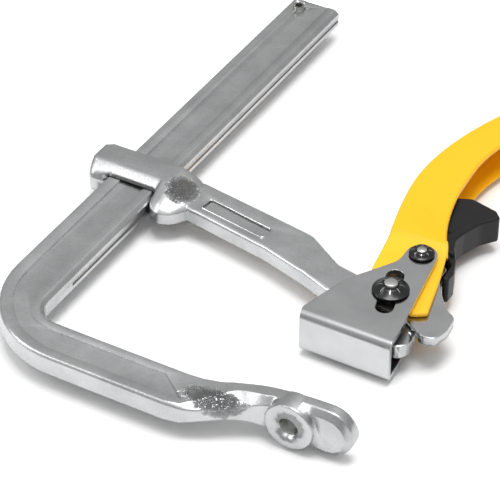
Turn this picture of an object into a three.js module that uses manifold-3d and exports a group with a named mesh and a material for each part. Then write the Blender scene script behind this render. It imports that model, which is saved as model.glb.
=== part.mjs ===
// Ratchet-handle sliding arm bar clamp, lying on its side. Millimetres, +Z up.
// The bar runs along Y, the jaws reach out along +X, everything is centred on the plane z = midZ.
import * as THREE from 'three';
import { mergeVertices } from 'three/addons/utils/BufferGeometryUtils.js';
import Module from 'manifold-3d';

const wasm = await Module();
wasm.setup();

// driving dimensions
const barWidth = 25, barThick = 10, barEnd = 234, midZ = barThick / 2;
const bendRadius = 46, bendCentreY = -12.5;
const jawOuterY = -58.5, jawInnerY = -36.6, jawStraightEnd = 100;
const paddleFront = -38.6, paddleBack = -30.6, paddleRound = 163.5, paddleFlat = 8.3;
const bossX = 148.3, bossRadius = 10.9, bossFace = -42, bossHole = 4.6;
const collarBottom = -4, collarTop = 14, slideGap = 0.35;
const pivotX = 149.7, pivotY = 44, linkX = 150, linkY = 72.4;
const hookX = 159, hookY = 72.4, triggerX = 147.5, triggerY = 91;
const slideDir = [0.2588, -0.9659], shoeStep = 9.12, swingMax = 28;
const tongueLow = 2, tongueHigh = 8;
const shoeLow = -5, shoeHigh = 15.5, shoeSheet = 2.5, shoeFace = 12.2;
const handleLow = -4.5, handleHigh = 15, handleSheet = 2, neckLow = -2.2, neckHigh = 12.7, neckMid = 5.25;

const finish = {
  forged: { color: 0xb9bbbd, roughness: 0.32, metalness: 1 },
  zinc: { color: 0xd2d4d6, roughness: 0.18, metalness: 1 },
  steel: { color: 0xc4c4c2, roughness: 0.3, metalness: 1 },
  black: { color: 0x17181a, roughness: 0.3, metalness: 0 },
  yellow: { color: 0xf7c513, roughness: 0.35, metalness: 0 },
};

// ---- helpers -------------------------------------------------------------------------------

function toManifold(geometry) {
  const g = geometry.clone();
  for (const name of Object.keys(g.attributes)) if (name !== 'position') g.deleteAttribute(name);
  const m = mergeVertices(g, 1e-4);
  return new wasm.Manifold(new wasm.Mesh({
    numProp: 3,
    vertProperties: Float32Array.from(m.attributes.position.array),
    triVerts: Uint32Array.from(m.index.array),
  }));
}

function toGeometry(manifold) {
  const mesh = manifold.getMesh();
  const g = new THREE.BufferGeometry();
  g.setAttribute('position', new THREE.BufferAttribute(Float32Array.from(mesh.vertProperties), 3));
  g.setIndex(new THREE.BufferAttribute(Uint32Array.from(mesh.triVerts), 1));
  g.computeVertexNormals();
  return g;
}

const join = (...list) => toGeometry(wasm.Manifold.union(list.map(toManifold)));
const cut = (a, ...list) => toGeometry(list.reduce((m, b) => m.subtract(toManifold(b)), toManifold(a)));
const keep = (a, b) => toGeometry(toManifold(a).intersect(toManifold(b)));

// corner list [x, y, radius] turned into a rounded outline
function rounded(corners, steps = 5) {
  const out = [];
  corners.forEach((c, i) => {
    const p = new THREE.Vector2(c[0], c[1]);
    const a = corners[(i + corners.length - 1) % corners.length];
    const b = corners[(i + 1) % corners.length];
    if (!c[2]) { out.push(p); return; }
    const ua = new THREE.Vector2(a[0], a[1]).sub(p), ub = new THREE.Vector2(b[0], b[1]).sub(p);
    const la = ua.length(), lb = ub.length();
    ua.normalize(); ub.normalize();
    const half = Math.acos(THREE.MathUtils.clamp(ua.dot(ub), -1, 1)) / 2;
    const reach = Math.min(c[2] / Math.tan(half), la * 0.49, lb * 0.49);
    const r = reach * Math.tan(half);
    const mid = ua.clone().add(ub).normalize();
    const centre = p.clone().add(mid.multiplyScalar(r / Math.sin(half)));
    const s = p.clone().add(ua.multiplyScalar(reach)).sub(centre);
    const e = p.clone().add(ub.multiplyScalar(reach)).sub(centre);
    const a0 = Math.atan2(s.y, s.x);
    let d = Math.atan2(e.y, e.x) - a0;
    while (d > Math.PI) d -= 2 * Math.PI;
    while (d < -Math.PI) d += 2 * Math.PI;
    for (let k = 0; k <= steps; k++) {
      const t = a0 + d * k / steps;
      out.push(new THREE.Vector2(centre.x + r * Math.cos(t), centre.y + r * Math.sin(t)));
    }
  });
  return out;
}

// plate standing on z = low with an optional rounded edge all round
function plate(outline, low, high, edge = 0, edgeSteps = 2) {
  const g = new THREE.ExtrudeGeometry(new THREE.Shape(outline), {
    depth: high - low - 2 * edge, bevelEnabled: edge > 0, bevelThickness: edge,
    bevelSize: edge, bevelOffset: -edge, bevelSegments: edgeSteps, curveSegments: 12,
  });
  return g.translate(0, 0, low + edge);
}

function rod(x, y, radius, low, high, segments = 28) {
  return new THREE.CylinderGeometry(radius, radius, high - low, segments)
    .rotateX(Math.PI / 2).translate(x, y, (low + high) / 2);
}

// turned part about a vertical axis, profile is a closed [radius, z] list
function turned(x, y, profile, segments = 32) {
  const points = profile.map(([r, z]) => new THREE.Vector2(r, z));
  points.push(points[0].clone());
  return new THREE.LatheGeometry(points, segments).rotateX(Math.PI / 2).translate(x, y, 0);
}

const ring = (x, y, inner, outer, low, high, segments = 28) =>
  turned(x, y, [[inner, low], [outer, low], [outer, high], [inner, high]], segments);

function box(x0, x1, y0, y1, z0, z1) {
  return new THREE.BoxGeometry(x1 - x0, y1 - y0, z1 - z0)
    .translate((x0 + x1) / 2, (y0 + y1) / 2, (z0 + z1) / 2);
}

// closed skin through rings of equal length
function skin(rings) {
  const n = rings[0].length, pos = [], idx = [];
  rings.forEach((r) => r.forEach((p) => pos.push(p.x, p.y, p.z)));
  for (let i = 0; i + 1 < rings.length; i++) {
    for (let j = 0; j < n; j++) {
      const a = i * n + j, b = i * n + (j + 1) % n;
      idx.push(a, b, b + n, a, b + n, a + n);
    }
  }
  for (const [start, flip] of [[0, true], [(rings.length - 1) * n, false]]) {
    for (let j = 1; j + 1 < n; j++) {
      idx.push(...(flip ? [start, start + j + 1, start + j] : [start, start + j, start + j + 1]));
    }
  }
  const g = new THREE.BufferGeometry();
  g.setAttribute('position', new THREE.Float32BufferAttribute(pos, 3));
  g.setIndex(idx);
  g.computeVertexNormals();
  return g;
}

// round wire along a list of points
function wire(points, radius, sides = 8) {
  const curve = new THREE.CatmullRomCurve3(points);
  const count = points.length - 1, frames = curve.computeFrenetFrames(count, false);
  const rings = [];
  for (let i = 0; i <= count; i++) {
    const p = curve.getPoint(i / count), loop = [];
    for (let j = 0; j < sides; j++) {
      const t = 2 * Math.PI * j / sides;
      loop.push(p.clone()
        .addScaledVector(frames.normals[i], radius * Math.cos(t))
        .addScaledVector(frames.binormals[i], radius * Math.sin(t)));
    }
    rings.push(loop);
  }
  return skin(rings);
}

function node(name, geometry, look) {
  const mesh = new THREE.Mesh(geometry, new THREE.MeshStandardMaterial(look));
  mesh.name = name;
  return mesh;
}

const arcPoints = (cx, cy, r, from, to, steps) => Array.from({ length: steps + 1 }, (_, i) => {
  const t = from + (to - from) * i / steps;
  return new THREE.Vector2(cx + r * Math.cos(t), cy + r * Math.sin(t));
});

// ---- bar with its fixed jaw ----------------------------------------------------------------

// one ring of the forging between an outer and an inner point of its plan: the nose is the outer
// edge with its half height, the crest stands further in at the full half height, and the inner
// edge has a flat bevel
function forgedRing(outer, inner, nose, crest, half, radius, bevel) {
  const a = new THREE.Vector2(...outer), across = new THREE.Vector2(...inner).sub(a);
  const span = across.length();
  across.normalize();
  const lip = half - bevel * 0.8;
  const loop = rounded([[0, nose, radius], [crest, half, radius], [span - bevel, half, radius],
    [span, lip, radius], [span, -lip, radius], [span - bevel, -half, radius], [crest, -half, radius],
    [0, -nose, radius]], 2);
  return loop.map((p) => new THREE.Vector3(a.x + across.x * p.x, a.y + across.y * p.x, midZ + p.y));
}

function fixedJawBar() {
  const h = midZ, small = 11, rings = [
    forgedRing([1, barEnd], [barWidth - 1, barEnd], h - 1.8, 0.8, h - 1, 0.8, 1.8),
    forgedRing([0, barEnd - 1], [barWidth, barEnd - 1], h - 1, 1, h, 1, 2.2),
  ];
  for (let i = 0; i <= 14; i++) {
    const t = Math.PI * (1 + 0.5 * i / 14), c = Math.cos(t), s = Math.sin(t);
    rings.push(forgedRing([bendRadius * (1 + c), bendCentreY + bendRadius * s],
      [barWidth + small * (1 + c), jawInnerY + small * (1 + s)], h - 1, 1, h, 1, 2.2));
  }
  // the jaw turns from a flat arm into an upright paddle, with hollow flanks between nose and crest:
  // [x, nose y, nose half height, crest y, half height, back y]
  const stations = [
    [jawStraightEnd, jawOuterY, 4, -57.4, 5, jawInnerY], [107, -57.6, 3.7, -55.8, 5, -36],
    [111, -55.8, 3.2, -51, 5.05, -35], [115, -53.4, 2.9, -46, 5.2, -34], [119, -50.6, 2.8, -41.4, 5.4, -33],
    [123, -47.6, 2.9, -38.2, 5.9, -32], [127, -44.9, 3.3, -37.2, 6.6, -31.3],
    [131, -42.6, 4.1, -37.2, 7.4, -30.8], [135, -40.9, 5.2, -37.4, 8.2, paddleBack],
    [139, -39.6, 5.9, -36.9, 8.9, paddleBack], [144, -38.8, 7, -36.4, 9.6, paddleBack],
    [150, paddleFront, 7.7, -36.1, 10.3, paddleBack], [157, paddleFront, 8.1, -36.1, 10.8, paddleBack],
    [paddleRound, paddleFront, paddleFlat, -36.1, 11, paddleBack],
  ];
  // round end, its flat front shrinking inside a bevel
  for (const a of [18, 36, 52, 66, 78]) {
    const t = a * Math.PI / 180, along = 11 * Math.sin(t), past = Math.max(along - paddleFlat, 0);
    stations.push([paddleRound + along, paddleFront + past * 0.9,
      Math.sqrt(Math.max(paddleFlat ** 2 - along ** 2, 0.3)), -36.1, 11 * Math.cos(t), paddleBack]);
  }
  for (const [x, nose, low, crest, half, back] of stations) {
    const bevel = Math.min(x < 119 ? 2.2 : 1.2, half * 0.4);
    rings.push(forgedRing([x, nose], [x, back], low, crest - nose, half, Math.min(1, half * 0.4), bevel));
  }
  let body = skin(rings.reverse());

  // round boss on the outside of the paddle with a tapped hole through
  const across = (geometry) => geometry.rotateX(Math.PI).translate(bossX, 0, midZ);
  const boss = across(new THREE.LatheGeometry([[0, 1.5 - paddleBack], [bossRadius, 1.5 - paddleBack],
    [bossRadius, -bossFace - 0.7], [bossRadius - 0.7, -bossFace], [0, -bossFace],
    [0, 1.5 - paddleBack]].map(([r, y]) => new THREE.Vector2(r, y)), 40));
  const bore = across(new THREE.CylinderGeometry(bossHole, bossHole, 30, 28).translate(0, 36, 0));
  body = cut(join(body, boss), bore);

  // wide shallow recess in both faces, following the bend
  const floor = (low, high) => {
    const left = 6.4, right = 18.8, far = 92, out = bendRadius - left, small = 17;
    const outer = jawOuterY + 5.4, inner = jawInnerY - 5.6;
    const turn = Math.min(out, bendCentreY - outer);
    return plate([
      new THREE.Vector2(left, barEnd + 2),
      ...arcPoints(left + turn, outer + turn, turn, Math.PI, Math.PI * 1.5, 14),
      new THREE.Vector2(far + 14, outer), new THREE.Vector2(far, inner),
      ...arcPoints(right + small, inner + small, small, Math.PI * 1.5, Math.PI, 8),
      new THREE.Vector2(right, barEnd + 2),
    ], low, high);
  };
  const bite = 0.8;
  body = cut(body, floor(barThick - bite, barThick + 3), floor(-3, bite));
  // groove along the inside edge of the bar and the hole for the end stop
  const groove = box(barWidth - 0.7, barWidth + 2, -8, barEnd + 3, midZ - 1.1, midZ + 1.1);
  return cut(body, groove, rod(6.4, 226, 2.9, -2, barThick + 2, 24));
}

// ---- sliding arm ---------------------------------------------------------------------------

function tongueTeeth() {
  const teeth = [];
  for (let i = 0; i < 4; i++) {
    const y = 32 + 4 * i;
    teeth.push([164.4, y - 0.05, 0], [167.4 - 0.2 * i, y, 0]);
  }
  return teeth;
}

function slidingArm() {
  const collarFoot = rounded([[-9, 57.5, 4], [1, 58.5, 3], [24.6, 58.5, 1.5], [26, 52.4, 4], [32, 48.8, 5],
    [38, 51.6, 7], [43, 58.5, 6], [43, 74.5, 5], [39.5, 78, 6], [33, 80, 5], [-6, 78.5, 5],
    [-12.5, 74, 4], [-12.5, 66, 5]], 4);
  const lower = plate(collarFoot, collarBottom + 6.4, collarTop - 6.4, 0);
  // the collar tapers from its waist to a narrower top and bottom
  const taper = (from, to) => {
    const rings = [[0, 0], [0.35, 0.12], [0.65, 0.42], [0.92, 0.86], [1, 1]].map(([rise, shrink]) => (
      collarFoot.map((p) => {
        const target = new THREE.Vector2(
          THREE.MathUtils.clamp(p.x, -10.5, 28.5), THREE.MathUtils.clamp(p.y, 65.5, 77.5));
        const q = p.clone().lerp(target, shrink);
        return new THREE.Vector3(q.x, q.y, from + (to - from) * rise);
      })));
    return from < to ? skin(rings) : skin(rings.reverse());
  };
  const beam = plate(rounded([[30, 60, 3], [46, 57.5, 6], [84, 50.8, 30], [106, 44.5, 20], [122, 38.6, 8],
    [134, 34, 8], [134, 53.5, 5], [126, 55.4, 8], [119, 56.6, 8], [110, 62.4, 12], [100, 69, 14],
    [70, 74, 20], [40, 78.5, 5], [28, 77, 3]], 3), 1, 9, 1.4, 2);
  const tongue = plate(rounded([[124, 39, 4], [136, 32, 10], [150, 24, 12], [160, 20, 4], [165.4, 20.6, 4],
    [168, 25, 3], [168, 28.5, 0.6], ...tongueTeeth(), [162.8, 48.2, 1], [158, 50.6, 4], [142, 51.5, 6],
    [126, 53, 3]], 4), tongueLow, tongueHigh, 0);
  const up = taper(collarTop - 6.5, collarTop), down = taper(collarBottom + 6.5, collarBottom);
  let body = join(lower, up, down, beam, tongue);
  // open way for the bar, closed pocket for the badge, bore for the pivot pin
  const way = box(-slideGap, barWidth + slideGap, 40, 90, -slideGap, barThick + slideGap);
  const panel = rounded([[47, 61.8, 2], [81.6, 55.8, 2], [82.9, 63.2, 2], [48.3, 69.2, 2]]);
  const badge = plate(panel, 8.3, 12), badgeBack = plate(panel, -2, 1.7);
  body = cut(body, way, badge, badgeBack, rod(pivotX, pivotY, 3.75, -2, 12));
  return body;
}

// ---- shoe, the sheet metal nose that presses on the work ------------------------------------

function shoeChannel() {
  const back = 80;
  const u = [
    [shoeFace, shoeLow, 3.2], [back, shoeLow, 0], [back, shoeLow + shoeSheet, 0],
    [shoeFace + shoeSheet, shoeLow + shoeSheet, 0.8], [shoeFace + shoeSheet, shoeHigh - shoeSheet, 0.8],
    [back, shoeHigh - shoeSheet, 0], [back, shoeHigh, 0], [shoeFace, shoeHigh, 3.2],
  ];
  const channel = plate(rounded(u, 5), 0, 60).applyMatrix4(
    new THREE.Matrix4().makeBasis(new THREE.Vector3(0, 1, 0), new THREE.Vector3(0, 0, 1),
      new THREE.Vector3(1, 0, 0)).setPosition(115, 0, 0));
  const outline = rounded([[124.2, 10, 0], [165.8, 10, 0], [164.6, 24, 8], [163, 35, 12], [157.2, 71.5, 0],
    ...arcPoints(linkX, linkY, 6.8, 0.12, Math.PI * 0.98, 12).map((p) => [p.x, p.y, 0]),
    [143.4, 64, 10], [136.4, 52.4, 12], [130, 42.4, 30], [126.6, 30.5, 30], [122.9, 16.8, 6]]);
  const body = keep(channel, plate(outline, shoeLow - 2, shoeHigh + 2));
  const reach = 10.9, half = 3.85, [dx, dy] = slideDir;
  const ends = [-reach, reach].map((s) => [pivotX - 0.1 + dx * s, pivotY - 0.5 + dy * s]);
  const angle = Math.atan2(dy, dx);
  const slot = plate([
    ...arcPoints(ends[1][0], ends[1][1], half, angle - Math.PI / 2, angle + Math.PI / 2, 10),
    ...arcPoints(ends[0][0], ends[0][1], half, angle + Math.PI / 2, angle + Math.PI * 1.5, 10),
  ], shoeLow - 2, shoeHigh + 2);
  return cut(body, slot, rod(linkX, linkY, 2.95, shoeLow - 2, shoeHigh + 2));
}

// ---- handle ---------------------------------------------------------------------------------

const gripLeft = [[129.6, 84], [125.2, 102.5], [122.2, 124], [123.4, 146], [128, 167], [134, 184.5],
  [141.5, 203], [148.5, 220]];
const gripRight = [[164.5, 216], [156.5, 197], [149.5, 179], [144.8, 162.5], [142.6, 147], [143.6, 128],
  [144.8, 118], [148, 104.5], [151.6, 94], [156.5, 84]];

function handleChannel() {
  const flow = (list, count) => new THREE.SplineCurve(list.map(([x, y]) => new THREE.Vector2(x, y)))
    .getPoints(count).map((p) => [p.x, p.y, 0]);
  const left = flow(gripLeft, 26);
  const upper = rounded([...left, [153.5, 232, 9], [170, 228, 9], ...flow(gripRight, 26)]);
  let grip = plate(upper, handleLow, handleHigh, 1.3, 2);
  const inside = rounded([[132.2, 77, 0], ...left.map(([x, y]) => [x + handleSheet + 0.2, y, 0]),
    [155.8, 229.6, 7], [168, 226.4, 7], [176, 221, 0], [200, 210, 0], [190, 77, 0]]);
  grip = cut(grip, plate(inside, handleLow + handleSheet, handleHigh - handleSheet, 0));

  // the lower end is pressed in so that it fits between the shoe flanges
  const lowerShape = (right) => rounded([[134, 58, 2], [136, 52.6, 3], [136.4, 44, 4], [143, 36.5, 5],
    [154, 34.5, 5], [164.6, 38.6, 2], [168.4, 41.4, 2], [right, 69.5, 6], [156.8, 84.5, 0],
    [129.7, 84.5, 0], [132.4, 68, 4]]);
  const cheek = (low, high, right) => plate(lowerShape(right), low, high, 0.5, 1);
  const cheeks = join(cheek(neckHigh - handleSheet, neckHigh, 161.4), cheek(neckLow, neckLow + handleSheet, 163));
  const web = plate(rounded([[133.1, 66, 0.8], [135.2, 66, 0.8], [132, 85.5, 0], [129.4, 85.5, 0]]),
    neckLow + 0.2, neckHigh - 0.2);
  // slanted step between the pressed-in end and the full width: [y, left, right, top, thickness]
  const rows = [[79.5, 130.6, 159.1, neckHigh, handleSheet], [84.4, 129.6, 156.8, handleHigh - 0.1, 2.6],
    [87.5, 129, 155.2, handleHigh - 0.1, 2.6]];
  const ramp = (flip) => {
    const rings = rows.map(([y, l, r, top, sheet]) => [[l, -sheet], [r, -sheet], [r, -0.9], [r - 0.9, 0],
      [l + 0.9, 0], [l, -0.9]].map(([x, z]) => new THREE.Vector3(x, y, flip ? 2 * neckMid - top - z : top + z)));
    return skin(flip ? rings : rings.reverse());
  };
  let body = join(grip, cheeks, web, ramp(false), ramp(true));

  // way for the pivot pin while the handle swings and the shoe moves along its slot
  const count = 7, clear = 4.35, path = [];
  for (let i = 0; i <= count; i++) {
    const t = (swingMax + 2) * Math.PI / 180 * i / count;
    const dx = pivotX - linkX - slideDir[0] * shoeStep * t, dy = pivotY - linkY - slideDir[1] * shoeStep * t;
    path.push(new THREE.Vector2(linkX + dx * Math.cos(t) + dy * Math.sin(t),
      linkY - dx * Math.sin(t) + dy * Math.cos(t)));
  }
  const headings = path.map((p, i) => {
    const a = path[Math.max(i - 1, 0)], b = path[Math.min(i + 1, count)];
    return Math.atan2(b.y - a.y, b.x - a.x);
  });
  const side = (i, turn) => new THREE.Vector2(path[i].x + clear * Math.cos(headings[i] + turn),
    path[i].y + clear * Math.sin(headings[i] + turn));
  const way = plate([
    ...arcPoints(path[0].x, path[0].y, clear, headings[0] + Math.PI / 2, headings[0] + Math.PI * 1.5, 8),
    ...path.slice(1, count).map((p, i) => side(i + 1, -Math.PI / 2)),
    ...arcPoints(path[count].x, path[count].y, clear, headings[count] - Math.PI / 2,
      headings[count] + Math.PI / 2, 8),
    ...path.slice(1, count).map((p, i) => side(count - 1 - i, Math.PI / 2)),
  ], -8, 18);
  body = cut(body, way, rod(linkX, linkY, 2.95, -8, 18),
    rod(hookX, hookY, 2, -8, neckLow + handleSheet + 1), rod(triggerX, triggerY, 2.2, handleLow + 0.7, 5, 20),
    rod(triggerX, triggerY, 2.2, 5, handleHigh - 0.7, 20));
  return body;
}

// ---- hook lever and pawl nose ---------------------------------------------------------------

function hookLever() {
  const outer = rounded([[155.7, 71.5, 2.8], [158.8, 58, 6], [161.4, 47, 6], [159.4, 36.4, 1.2],
    [165.8, 32.6, 3], [171.5, 29.4, 5], [177.2, 30, 6], [179.2, 38, 9], [178.4, 47.2, 4.5], [172.6, 50.6, 6],
    [167.2, 57.6, 8], [161.6, 67.2, 3], [161.6, 75.7, 2.6], [155.7, 75.7, 3.2]]);
  const inner = rounded([[150, 80, 0], [150, 20, 0], [168.9, 20, 0], [169.4, 33.4, 0.5],
    [172.6, 31.6, 2], [175.8, 33, 3],
    [177, 38, 5], [176.2, 45, 2.4], [171, 48.6, 3], [165.2, 57, 8], [159.6, 66.6, 0], [168, 80, 0]]);
  // the far end is a plate with a short turned-down rim
  const body = cut(plate(outer, 0.1, 10.4, 0.4, 1), plate(inner, 1.6, 8.9), box(165.4, 185, 20, 53, -2, 6.2));
  return cut(body, rod(hookX, hookY, 1.95, -2, 14), rod(171.6, 38.4, 1.55, -2, 9.9, 20));
}

function pawlNose() {
  const shape = rounded([[165.15, 39.62, 0.2], [168.4, 36.2, 0.6], [170.6, 34.6, 1.2], [173.6, 35.6, 2.4],
    [174.4, 39, 2], [172.4, 42, 2], [169.2, 40.8, 1], [168, 39.7, 0]]);
  return cut(plate(shape, 4.6, 8.6), rod(171.6, 38.4, 1.55, -2, 14, 20));
}

function hookSpring() {
  const points = [new THREE.Vector3(hookX - 1, hookY + 6.6, 2.6), new THREE.Vector3(hookX + 1.6, hookY + 4.4, 2.6)];
  for (let i = 0; i <= 40; i++) {
    const t = Math.PI * 0.25 - i / 40 * Math.PI * 8;
    points.push(new THREE.Vector3(hookX + 2.55 * Math.cos(t), hookY + 2.55 * Math.sin(t), 2.8 + i / 40 * 4.6));
  }
  return wire(points, 0.35, 5);
}

// ---- trigger --------------------------------------------------------------------------------

function triggerCover() {
  const shape = rounded([[141.5, 121, 2], [139.8, 108, 6], [142.6, 95, 4], [144.6, 87, 3], [152, 85.6, 3],
    [161.8, 77.4, 2], [162.4, 67.6, 1.2], [165.4, 66.8, 1.3], [165.4, 73, 4],
    [162.8, 80, 5], [158, 88, 6], [156, 94, 4], [157, 100, 8], [160.4, 110, 12], [166.2, 117.6, 1.8],
    [162.4, 121.6, 3], [149.5, 124.6, 3]]);
  const body = plate(shape, -1.4, 11.4, 0.9, 2);
  // the tail below the pivot is narrower than the finger piece
  const trims = [box(140, 161.9, 60, 84.9, 9.4, 14), box(140, 163.6, 60, 84.9, -4, 0.6)];
  const pocket = plate(rounded([[143, 118, 1], [142.4, 98, 1], [143.4, 86.9, 0.5], [152.4, 86.9, 0.5],
    [153.4, 98, 1], [158.4, 112, 1], [158.4, 118, 1]]), 3.4, 6.6);
  const mouth = box(136, 146, 101, 112, 3.4, 6.6);
  return cut(body, ...trims, pocket, mouth, rod(triggerX, triggerY, 2.2, -4, 14));
}

function triggerCore() {
  const shape = rounded([[143.4, 117.6, 1], [142.8, 98, 1], [143.8, 87.3, 2], [152, 87.3, 2], [153, 98, 1],
    [158, 112, 1], [158, 117.6, 1]]);
  return cut(plate(shape, 3.7, 6.3), rod(triggerX, triggerY, 2.2, -4, 14));
}

function triggerSpring() {
  const points = [], turns = 4, x0 = 128.4, x1 = 139, y = 106.5;
  for (let i = 0; i <= 40; i++) {
    const t = i / 40 * Math.PI * 2 * turns;
    points.push(new THREE.Vector3(x0 + (x1 - x0) * i / 40, y + 2.6 * Math.cos(t), midZ + 2.6 * Math.sin(t)));
  }
  return wire(points, 0.4, 5);
}

// ---- pins, caps and spacers -----------------------------------------------------------------

function headedPin(x, y, radius, tip, headLow, shoulder, top) {
  return turned(x, y, [[0, headLow], [radius + 2.2, headLow], [radius + 2.6, headLow + 0.5],
    [radius + 2.6, shoeLow - 0.3], [radius, shoeLow - 0.3], [radius, shoulder], [tip, shoulder + 0.4],
    [tip, top - 0.4], [tip - 0.4, top], [0, top]]);
}

function pushCap(x, y, hole, radius, low, rise) {
  return turned(x, y, [[hole, low + rise - 0.9], [hole + 1.4, low + rise - 1.5], [radius - 1.6, low + 0.1],
    [radius - 0.4, low], [radius, low + 0.4], [radius - 0.2, low + 0.9], [radius - 1.6, low + 1.2],
    [hole + 1.6, low + rise - 0.1], [hole + 0.6, low + rise], [hole, low + rise]], 36);
}

// ---- assembly -------------------------------------------------------------------------------

const clamp = new THREE.Group();
clamp.name = 'bar_clamp';
clamp.add(
  node('fixed_jaw_bar', fixedJawBar(), finish.forged),
  node('bar_stop_pin', ring(6.4, 226, 1.7, 2.7, -1.6, barThick + 1.4, 24), finish.steel),
  node('sliding_arm', slidingArm(), finish.forged),
  node('pivot_pin', headedPin(pivotX, pivotY, 3.5, 2.9, -7.4, shoeHigh + 0.1, 20.2), finish.steel),
  node('pivot_cap', pushCap(pivotX, pivotY, 3.1, 8, shoeHigh + 0.4, 3), finish.black),
  node('pivot_spacer_upper', ring(pivotX, pivotY, 3.8, 6.6, tongueHigh + 0.3, neckHigh - handleSheet - 0.3),
    finish.steel),
  node('pivot_spacer_lower', ring(pivotX, pivotY, 3.8, 6.6, neckLow + handleSheet + 0.3, tongueLow - 0.3),
    finish.steel),
  node('shoe_channel', shoeChannel(), finish.zinc),
  node('link_pin', headedPin(linkX, linkY, 2.7, 2.3, -7, shoeHigh + 0.1, 18.6), finish.steel),
  node('link_cap', pushCap(linkX, linkY, 2.5, 5.6, shoeHigh + 0.4, 2.2), finish.black),
  node('link_spacer', ring(linkX, linkY, 3, 4.6, neckLow + handleSheet + 0.3, neckHigh - handleSheet - 0.3),
    finish.steel),
  node('handle_channel', handleChannel(), finish.yellow),
  node('hook_pin', rod(hookX, hookY, 1.7, neckLow + 0.1, 10.3, 20), finish.steel),
  node('hook_lever', hookLever(), finish.zinc),
  node('pawl_nose', pawlNose(), finish.steel),
  node('pawl_rivet', rod(171.6, 38.4, 1.3, 4.2, 9.6, 16), finish.steel),
  node('hook_spring', hookSpring(), finish.steel),
  node('trigger_pin', rod(triggerX, triggerY, 1.9, handleLow + 1, handleHigh - 1, 20), finish.steel),
  node('trigger_cover', triggerCover(), finish.black),
  node('trigger_core', triggerCore(), finish.steel),
  node('trigger_spring', triggerSpring(), finish.steel),
);

// the frame's origin is the middle of the footprint, on the resting plane
clamp.position.set(-83.13, -87.75, 7.4);

export default clamp;
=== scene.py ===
import math

import bmesh
import bpy
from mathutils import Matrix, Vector


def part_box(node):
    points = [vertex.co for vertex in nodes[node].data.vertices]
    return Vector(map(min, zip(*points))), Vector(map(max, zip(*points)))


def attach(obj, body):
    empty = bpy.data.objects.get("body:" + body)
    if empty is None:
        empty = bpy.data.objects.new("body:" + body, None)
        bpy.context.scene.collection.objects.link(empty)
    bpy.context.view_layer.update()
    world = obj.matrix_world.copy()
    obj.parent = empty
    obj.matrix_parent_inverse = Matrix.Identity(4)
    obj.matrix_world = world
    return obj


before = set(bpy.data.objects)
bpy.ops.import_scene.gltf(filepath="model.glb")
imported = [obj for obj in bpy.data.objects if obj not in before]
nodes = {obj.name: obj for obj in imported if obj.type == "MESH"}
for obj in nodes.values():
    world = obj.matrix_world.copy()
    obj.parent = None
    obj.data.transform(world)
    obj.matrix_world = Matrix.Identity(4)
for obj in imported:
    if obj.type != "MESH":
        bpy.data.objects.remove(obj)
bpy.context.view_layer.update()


def nodeCentre(name):
    low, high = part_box(name)
    return (low + high) / 2


def newMaterial(name):
    mat = bpy.data.materials.new(name)
    mat.use_nodes = True
    tree = mat.node_tree
    tree.nodes.clear()
    out = tree.nodes.new("ShaderNodeOutputMaterial")
    shader = tree.nodes.new("ShaderNodeBsdfPrincipled")
    tree.links.new(shader.outputs["BSDF"], out.inputs["Surface"])
    return mat, tree, shader


def objectCoords(tree, scale=(1, 1, 1)):
    # place on the piece in metres, stretched by scale
    coords = tree.nodes.new("ShaderNodeTexCoord")
    mapping = tree.nodes.new("ShaderNodeMapping")
    mapping.inputs["Scale"].default_value = scale
    tree.links.new(coords.outputs["Object"], mapping.inputs["Vector"])
    return mapping.outputs["Vector"]


def noise(tree, vector, scale, detail=4, rough=0.55):
    tex = tree.nodes.new("ShaderNodeTexNoise")
    tex.inputs["Scale"].default_value = scale
    tex.inputs["Detail"].default_value = detail
    tex.inputs["Roughness"].default_value = rough
    tree.links.new(vector, tex.inputs["Vector"])
    return tex.outputs["Fac"]


def ramp(tree, value, stops):
    # stops are (place, grey or colour)
    node = tree.nodes.new("ShaderNodeValToRGB")
    band = node.color_ramp
    while len(band.elements) < len(stops):
        band.elements.new(0.5)
    for element, (place, colour) in zip(band.elements, stops):
        element.position = place
        element.color = (*colour, 1) if isinstance(colour, tuple) else (colour, colour, colour, 1)
    tree.links.new(value, node.inputs["Fac"])
    return node.outputs["Color"]


def mathNode(tree, operation, a, b):
    node = tree.nodes.new("ShaderNodeMath")
    node.operation = operation
    for socket, value in zip(node.inputs, (a, b)):
        if isinstance(value, (int, float)):
            socket.default_value = value
        else:
            tree.links.new(value, socket)
    return node.outputs[0]


def mixColour(tree, factor, a, b):
    node = tree.nodes.new("ShaderNodeMix")
    node.data_type = "RGBA"
    for socket, value in zip((node.inputs[0], node.inputs[6], node.inputs[7]), (factor, a, b)):
        if isinstance(value, (int, float)):
            socket.default_value = value
        elif isinstance(value, tuple):
            socket.default_value = (*value, 1)
        else:
            tree.links.new(value, socket)
    return node.outputs[2]


def bump(tree, shader, height, strength, distance, before=None):
    node = tree.nodes.new("ShaderNodeBump")
    node.inputs["Strength"].default_value = strength
    node.inputs["Distance"].default_value = distance
    tree.links.new(height, node.inputs["Height"])
    if before is not None:
        tree.links.new(before, node.inputs["Normal"])
    tree.links.new(node.outputs["Normal"], shader.inputs["Normal"])
    return node.outputs["Normal"]


def softEdge(tree, radius):
    node = tree.nodes.new("ShaderNodeBevel")
    node.samples = 4
    node.inputs["Radius"].default_value = radius
    return node.outputs["Normal"]


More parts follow.
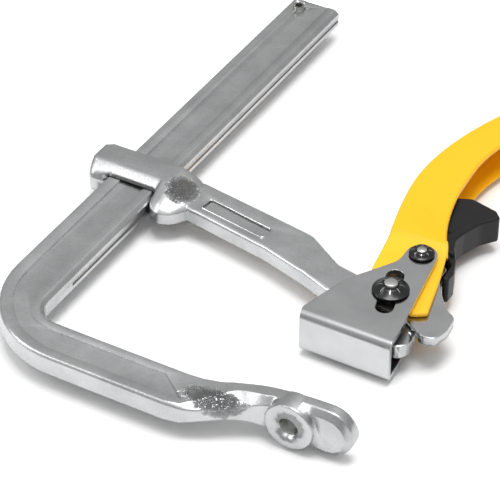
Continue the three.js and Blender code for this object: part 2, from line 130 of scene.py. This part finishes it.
def ballMask(tree, centre, size, hard=0.55, ragged=0.0):
    # 1 inside an ellipsoid about centre, fading to 0 at its skin
    coords = tree.nodes.new("ShaderNodeTexCoord")
    mapping = tree.nodes.new("ShaderNodeMapping")
    mapping.vector_type = "TEXTURE"
    mapping.inputs["Location"].default_value = centre
    mapping.inputs["Scale"].default_value = size
    tree.links.new(coords.outputs["Object"], mapping.inputs["Vector"])
    length = tree.nodes.new("ShaderNodeVectorMath")
    length.operation = "LENGTH"
    tree.links.new(mapping.outputs["Vector"], length.inputs[0])
    reach = length.outputs["Value"]
    if ragged:
        wobble = noise(tree, coords.outputs["Object"], 330, 3)
        reach = mathNode(tree, "ADD", reach, mathNode(tree, "MULTIPLY", wobble, ragged))
        reach = mathNode(tree, "SUBTRACT", reach, ragged / 2)
    return ramp(tree, reach, [(hard, 1.0), (1.0, 0.0)])


forgedLook = {"tint": (0.58, 0.585, 0.59), "dark": (0.46, 0.465, 0.47), "grain": (0.13, 0.13, 0.135),
              "roughLow": 0.22, "roughHigh": 0.36}
zincLook = {"tint": (0.60, 0.605, 0.61), "dark": (0.47, 0.475, 0.48), "roughLow": 0.13, "roughHigh": 0.26}
# the lightest yellow paints highlights on sharp edges; the near-black paints shade about the pivot pin
yellowLook = {"paint": (0.92, 0.46, 0.002), "wearToneAndPaintedShade": (0.84, 0.40, 0.002),
              "edge": (0.98, 0.68, 0.06), "paintedShadeTone": (0.03, 0.028, 0.025), "rough": 0.4}
turnedLook = {"tint": (0.66, 0.66, 0.64), "dark": (0.42, 0.42, 0.41), "rings": 320}
blackLook = {"steel": (0.006, 0.006, 0.006), "plastic": (0.006, 0.006, 0.007)}


def forgedPlate(name, grainSpots=()):
    # satin plating over a blasted forging, coarser in the pockets listed in grainSpots
    mat, tree, shader = newMaterial(name)
    here = objectCoords(tree)
    cloud = noise(tree, here, 60, 5)
    fine = noise(tree, here, 2200, 3, 0.7)
    pits = noise(tree, here, 700, 4, 0.6)
    patches = ramp(tree, cloud, [(0.35, 0.0), (0.7, 1.0)])
    tint = mixColour(tree, patches, forgedLook["dark"], forgedLook["tint"])
    shader.inputs["Metallic"].default_value = 1.0
    rough = tree.nodes.new("ShaderNodeMapRange")
    rough.inputs["To Min"].default_value = forgedLook["roughLow"]
    rough.inputs["To Max"].default_value = forgedLook["roughHigh"]
    tree.links.new(pits, rough.inputs["Value"])
    roughness = rough.outputs["Result"]
    edge = softEdge(tree, 0.0007)
    blasted = bump(tree, shader, fine, 0.10, 0.0002, edge)
    pitted = bump(tree, shader, pits, 0.12, 0.0004, blasted)
    if grainSpots:
        mask = None
        for centre, size in grainSpots:
            spot = ballMask(tree, centre, size, ragged=0.7)
            mask = spot if mask is None else mathNode(tree, "MAXIMUM", mask, spot)
        crumbs = noise(tree, here, 900, 3, 0.8)
        height = mathNode(tree, "MULTIPLY", ramp(tree, crumbs, [(0.40, 0.0), (0.62, 1.0)]), mask)
        bump(tree, shader, height, 1.0, 0.0012, pitted)
        roughness = mathNode(tree, "ADD", roughness, mathNode(tree, "MULTIPLY", mask, 0.06))
        tint = mixColour(tree, mathNode(tree, "MULTIPLY", mask, 0.5), tint, forgedLook["grain"])
    tree.links.new(tint, shader.inputs["Base Color"])
    tree.links.new(roughness, shader.inputs["Roughness"])
    return mat


def zincSheet(name, along=(1, 1, 1)):
    # bright plated sheet with faint rolling lines and scuffs
    mat, tree, shader = newMaterial(name)
    here = objectCoords(tree, along)
    cloud = noise(tree, objectCoords(tree), 45, 4)
    lines = noise(tree, here, 260, 4, 0.6)
    patches = ramp(tree, cloud, [(0.3, 0.0), (0.75, 1.0)])
    tint = mixColour(tree, patches, zincLook["dark"], zincLook["tint"])
    tree.links.new(tint, shader.inputs["Base Color"])
    shader.inputs["Metallic"].default_value = 1.0
    rough = tree.nodes.new("ShaderNodeMapRange")
    rough.inputs["To Min"].default_value = zincLook["roughLow"]
    rough.inputs["To Max"].default_value = zincLook["roughHigh"]
    tree.links.new(lines, rough.inputs["Value"])
    tree.links.new(rough.outputs["Result"], shader.inputs["Roughness"])
    edge = softEdge(tree, 0.0005)
    bump(tree, shader, lines, 0.06, 0.0002, edge)
    return mat


def turnedSteel(name, centre):
    # plain steel with turning marks about an upright axis through centre
    mat, tree, shader = newMaterial(name)
    coords = tree.nodes.new("ShaderNodeTexCoord")
    mapping = tree.nodes.new("ShaderNodeMapping")
    mapping.inputs["Location"].default_value = (-centre[0], -centre[1], 0)
    tree.links.new(coords.outputs["Object"], mapping.inputs["Vector"])
    wave = tree.nodes.new("ShaderNodeTexWave")
    wave.wave_type = "RINGS"
    wave.rings_direction = "Z"
    wave.inputs["Scale"].default_value = turnedLook["rings"]
    wave.inputs["Distortion"].default_value = 2.0
    wave.inputs["Detail"].default_value = 2.0
    tree.links.new(mapping.outputs["Vector"], wave.inputs["Vector"])
    speck = noise(tree, coords.outputs["Object"], 1500, 4, 0.7)
    tint = mixColour(tree, speck, turnedLook["dark"], turnedLook["tint"])
    tree.links.new(tint, shader.inputs["Base Color"])
    shader.inputs["Metallic"].default_value = 1.0
    shader.inputs["Roughness"].default_value = 0.3
    height = mathNode(tree, "ADD", mathNode(tree, "MULTIPLY", wave.outputs["Fac"], 0.5), speck)
    bump(tree, shader, height, 0.25, 0.0001, softEdge(tree, 0.0003))
    return mat


def blackSteel(name):
    mat, tree, shader = newMaterial(name)
    here = objectCoords(tree)
    smear = noise(tree, here, 240, 4)
    shader.inputs["Base Color"].default_value = (*blackLook["steel"], 1)
    shader.inputs["Specular IOR Level"].default_value = 0.45
    tree.links.new(ramp(tree, smear, [(0.3, 0.16), (0.8, 0.3)]), shader.inputs["Roughness"])
    bump(tree, shader, noise(tree, here, 1400, 3), 0.08, 0.0001, softEdge(tree, 0.0003))
    return mat


def mouldedBlack(name):
    # glass-filled nylon, fine spark texture
    mat, tree, shader = newMaterial(name)
    here = objectCoords(tree)
    tint = mixColour(tree, noise(tree, here, 80, 4), blackLook["plastic"], (0.014, 0.014, 0.015))
    tree.links.new(tint, shader.inputs["Base Color"])
    shader.inputs["Roughness"].default_value = 0.34
    shader.inputs["Specular IOR Level"].default_value = 0.25
    bump(tree, shader, noise(tree, here, 1800, 3, 0.7), 0.18, 0.00015, softEdge(tree, 0.0008))
    return mat


def yellowCoat(name, paintedShadeSpot):
    # powder coat with a light orange peel; sharp edges lightened as a painted highlight, and painted shade,
    # near-black and partly metallic, around the pin it slides on
    mat, tree, shader = newMaterial(name)
    here = objectCoords(tree)
    cloud = noise(tree, here, 35, 4)
    peel = noise(tree, here, 420, 2, 0.5)
    geometry = tree.nodes.new("ShaderNodeNewGeometry")
    # painted highlight: sharp convex edges are lightened towards a brighter yellow
    edge = ramp(tree, geometry.outputs["Pointiness"], [(0.50, 0.0), (0.58, 1.0)])
    patches = ramp(tree, cloud, [(0.3, 0.0), (0.8, 0.35)])
    base = mixColour(tree, patches, yellowLook["paint"], yellowLook["wearToneAndPaintedShade"])
    tint = mixColour(tree, mathNode(tree, "MULTIPLY", edge, 0.25), base, yellowLook["edge"])
    # painted shade: the coat goes near-black and partly metallic in a ball around the pivot pin, where the
    # shoe's slot shades the handle
    wearToneAndPaintedShade = ballMask(tree, *paintedShadeSpot, hard=0.9)
    tint = mixColour(tree, wearToneAndPaintedShade, tint, yellowLook["paintedShadeTone"])
    tree.links.new(tint, shader.inputs["Base Color"])
    tree.links.new(mathNode(tree, "MULTIPLY", wearToneAndPaintedShade, 0.7), shader.inputs["Metallic"])
    shader.inputs["Roughness"].default_value = yellowLook["rough"]
    shader.inputs["Specular IOR Level"].default_value = 0.3
    shader.inputs["Coat Weight"].default_value = 0.12
    shader.inputs["Coat Roughness"].default_value = 0.2
    bump(tree, shader, peel, 0.10, 0.0003, softEdge(tree, 0.0008))
    return mat


def dress(name, mat):
    materials = nodes[name].data.materials
    materials.clear()
    materials.append(mat)


def smoothEdges(piece, width):
    # rounding and shading by modifiers, so that the solid's own points stay as they are
    for poly in piece.data.polygons:
        poly.use_smooth = True
    weld = piece.modifiers.new("weld", "WELD")
    weld.merge_threshold = 0.00002
    if width:
        bevel = piece.modifiers.new("softEdge", "BEVEL")
        bevel.width = width
        bevel.segments = 2
        bevel.limit_method = "ANGLE"
        bevel.angle_limit = math.radians(32)
    faces = piece.modifiers.new("faces", "WEIGHTED_NORMAL")
    faces.keep_sharp = True


print("finishes")
armLow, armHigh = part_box("sliding_arm")
barLow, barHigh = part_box("fixed_jaw_bar")
collarSlope = {"place": (0.0485, -0.0145, -0.002), "size": (0.0085, 0.0095, 0.0050)}
flank = {"place": (0.1185, 0.0115, -0.0065), "size": (0.0165, 0.0068, 0.0066)}
# size of the painted shade spot on the handle around the pivot pin
neckPaintedShade = {"size": (0.0118, 0.0165, 0.03)}
armCorner = Vector((armLow.x, armHigh.y, armHigh.z))
barCorner = Vector((barLow.x, barLow.y, barHigh.z))
looks = {
    "fixed_jaw_bar": forgedPlate("forgedBar", [(barCorner + Vector(flank["place"]), flank["size"])]),
    "sliding_arm": forgedPlate("castArm", [(armCorner + Vector(collarSlope["place"]), collarSlope["size"])]),
    "bar_stop_pin": turnedSteel("stopPinSteel", nodeCentre("bar_stop_pin")),
    "pivot_pin": turnedSteel("pivotSteel", nodeCentre("pivot_pin")),
    "pivot_cap": blackSteel("pivotCapBlack"),
    "shoe_channel": zincSheet("shoeZinc", (1, 6, 1)),
    "link_pin": turnedSteel("linkSteel", nodeCentre("link_pin")),
    "link_cap": blackSteel("linkCapBlack"),
    "handle_channel": yellowCoat("handleYellow", (nodeCentre("pivot_pin"), neckPaintedShade["size"])),
    "hook_lever": zincSheet("hookZinc", (3, 1, 1)),
    "trigger_cover": mouldedBlack("triggerNylon"),
}
plainSteel = turnedSteel("plainSteel", nodeCentre("pivot_pin"))
for name in nodes:
    dress(name, looks.get(name, plainSteel))

edges = {"shoe_channel": 0.0003}  # cut sheet edges that are eased
for name, piece in nodes.items():
    smoothEdges(piece, edges.get(name, 0.0))

print("small details")
thread = {"pitch": 0.00125, "depth": 0.0006, "radius": 0.00458, "turnSteps": 24,
          "along": 0.1483, "start": 0.0172, "end": 0.0272}  # places are from the lowest corner of the bar
badgeRim = {"length": 0.0352, "width": 0.0075, "corner": 0.0018, "rim": 0.0005, "turn": -9.8,
            "place": (0.07745, -0.0175, -0.005)}  # from the left, far and top sides of the arm
tongues = {"count": 8, "width": 0.00022}


def newPiece(name, shape, mat, body):
    mesh = bpy.data.meshes.new(name)
    shape.normal_update()
    shape.to_mesh(mesh)
    shape.free()
    for poly in mesh.polygons:
        poly.use_smooth = True
    piece = bpy.data.objects.new(name, mesh)
    mesh.materials.append(mat)
    bpy.context.scene.collection.objects.link(piece)
    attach(piece, body)
    return piece


def boreThread():
    # one winding ridge on the wall of the tapped hole in the boss
    centre = Vector((barLow.x + thread["along"], 0, (barLow.z + barHigh.z) / 2))
    start, end = barLow.y + thread["start"], barLow.y + thread["end"]
    shape = bmesh.new()
    steps = int((end - start) / thread["pitch"] * thread["turnSteps"])
    before = None
    for i in range(steps + 1):
        angle = 2 * math.pi * i / thread["turnSteps"]
        along = start + (end - start) * i / steps
        half = thread["pitch"] * 0.45
        row = []
        for radius, shift in ((thread["radius"], -half), (thread["radius"] - thread["depth"], 0),
                              (thread["radius"], half)):
            row.append(shape.verts.new((centre.x + radius * math.cos(angle), along + shift,
                                        centre.z + radius * math.sin(angle))))
        if before:
            for j in range(2):
                shape.faces.new((before[j], before[j + 1], row[j + 1], row[j]))
        before = row
    newPiece("boss_thread", shape, turnedSteel("threadSteel", centre), "bar")


def panelRim():
    # fine raised border around the sunk panel on the arm
    turn = math.radians(badgeRim["turn"])
    centre = armCorner + Vector(badgeRim["place"])
    halfLong, halfWide, corner = badgeRim["length"] / 2, badgeRim["width"] / 2, badgeRim["corner"]
    path = []
    for sx, sy, first in ((1, 1, 0), (-1, 1, 90), (-1, -1, 180), (1, -1, 270)):
        for k in range(7):
            a = math.radians(first + 15 * k)
            path.append((sx * (halfLong - corner) + corner * math.cos(a),
                         sy * (halfWide - corner) + corner * math.sin(a), a))
    shape = bmesh.new()
    rows = []
    for x, y, a in path:
        row = []
        for out, up in ((-1, -0.2), (-0.6, 0.6), (0, 0.9), (0.6, 0.6), (1, -0.2)):
            px = x + out * badgeRim["rim"] * math.cos(a)
            py = y + out * badgeRim["rim"] * math.sin(a)
            row.append(shape.verts.new((centre.x + px * math.cos(turn) - py * math.sin(turn),
                                        centre.y + px * math.sin(turn) + py * math.cos(turn),
                                        centre.z + up * badgeRim["rim"])))
        rows.append(row)
    for i, row in enumerate(rows):
        other = rows[(i + 1) % len(rows)]
        for j in range(4):
            shape.faces.new((row[j], other[j], other[j + 1], row[j + 1]))
    newPiece("panel_rim", shape, zincSheet("rimBright"), "arm")


def capTongues(name, cap, hole, body):
    # narrow light metal strips down the slits between the gripping tongues of a push-on cap: painted
    # highlights on the black cap
    low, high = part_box(cap)
    centre, reach = (low + high) / 2, (high.x - low.x) / 2
    shape = bmesh.new()
    for i in range(tongues["count"]):
        a = 2 * math.pi * (i + 0.5) / tongues["count"]
        along, side = Vector((math.cos(a), math.sin(a), 0)), Vector((-math.sin(a), math.cos(a), 0))
        stops = ((hole + 0.0005, high.z + 0.00005, 1), (hole + 0.0015, high.z, 0.8),
                 (hole + (reach - hole) * 0.55, low.z + (high.z - low.z) * 0.68 + 0.00012, 0.4))
        before = None
        for out, height, share in stops:
            middle = Vector((centre.x, centre.y, height)) + along * out
            wide = side * tongues["width"] * share
            pair = (shape.verts.new(middle - wide), shape.verts.new(middle + wide))
            if before:
                shape.faces.new((before[0], pair[0], pair[1], before[1]))
            before = pair
    newPiece(name, shape, zincSheet(name + "PaintedHighlight"), body)


boreThread()
panelRim()
# light metal strips on the black caps, painted highlight streaks
capTongues("pivot_cap_tongues", "pivot_cap", 0.0031, "arm")
capTongues("link_cap_tongues", "link_cap", 0.0025, "shoe")

print("floor, light and camera")
studio = {"elevation": 37.95, "azimuth": 30.07, "distance": 1.0524, "lens": 175.35,
          "shift": (0.0464, 0.0072), "aim": (-0.0119, -0.0446, 0.0124),
          "sky": 1.0, "bands": [(0.0, 0.40), (0.45, 0.50), (0.70, 0.60), (0.86, 1.0)],
          "floor": ((0.93, 0.93, 0.93), (0.95, 0.95, 0.95)),
          "softboxes": [("topSoftbox", (0.1, -0.05, 1.2), (0.7, 0.5), 9.5),
                        ("sideSoftbox", (-0.9, -0.5, 0.8), (0.3, 0.9), 4)]}


def makeFloor():
    mesh = bpy.data.meshes.new("floor")
    shape = bmesh.new()
    bmesh.ops.create_grid(shape, x_segments=1, y_segments=1, size=3.0)
    shape.to_mesh(mesh)
    shape.free()
    floor = bpy.data.objects.new("floor", mesh)
    floor.location.z = -0.0002
    bpy.context.scene.collection.objects.link(floor)
    mat, tree, shader = newMaterial("paleFloor")
    tint = mixColour(tree, noise(tree, objectCoords(tree), 3, 2), *studio["floor"])
    tree.links.new(tint, shader.inputs["Base Color"])
    shader.inputs["Roughness"].default_value = 0.9
    mesh.materials.append(mat)


def makeLight(name, place, size, power):
    data = bpy.data.lights.new(name, "AREA")
    data.shape = "RECTANGLE"
    data.size, data.size_y = size
    data.energy = power
    lamp = bpy.data.objects.new(name, data)
    lamp.location = place
    lamp.rotation_euler = (-Vector(place)).to_track_quat("-Z", "Y").to_euler()
    bpy.context.scene.collection.objects.link(lamp)


def makeCamera():
    data = bpy.data.cameras.new("camera")
    data.lens = studio["lens"]
    data.sensor_width = 36
    data.shift_x, data.shift_y = studio["shift"]
    data.clip_end = 20
    camera = bpy.data.objects.new("camera", data)
    tilt, turn = math.radians(studio["elevation"]), math.radians(studio["azimuth"])
    forward = Vector((-math.sin(turn) * math.cos(tilt), math.cos(turn) * math.cos(tilt), -math.sin(tilt)))
    camera.location = Vector(studio["aim"]) - forward * studio["distance"]
    camera.rotation_mode = "QUATERNION"
    camera.rotation_quaternion = forward.to_track_quat("-Z", "Y")
    bpy.context.scene.collection.objects.link(camera)
    bpy.context.scene.camera = camera


makeFloor()
world = bpy.data.worlds.new("studio")
world.use_nodes = True
sky = world.node_tree
skyCoords = sky.nodes.new("ShaderNodeTexCoord")
skySplit = sky.nodes.new("ShaderNodeSeparateXYZ")
sky.links.new(skyCoords.outputs["Generated"], skySplit.inputs["Vector"])
skyBand = ramp(sky, skySplit.outputs["Z"], studio["bands"])
sky.links.new(skyBand, sky.nodes["Background"].inputs["Color"])
sky.nodes["Background"].inputs["Strength"].default_value = studio["sky"]
bpy.context.scene.world = world
for name, place, size, power in studio["softboxes"]:
    makeLight(name, place, size, power)
makeCamera()
bpy.context.scene.view_settings.view_transform = "Standard"
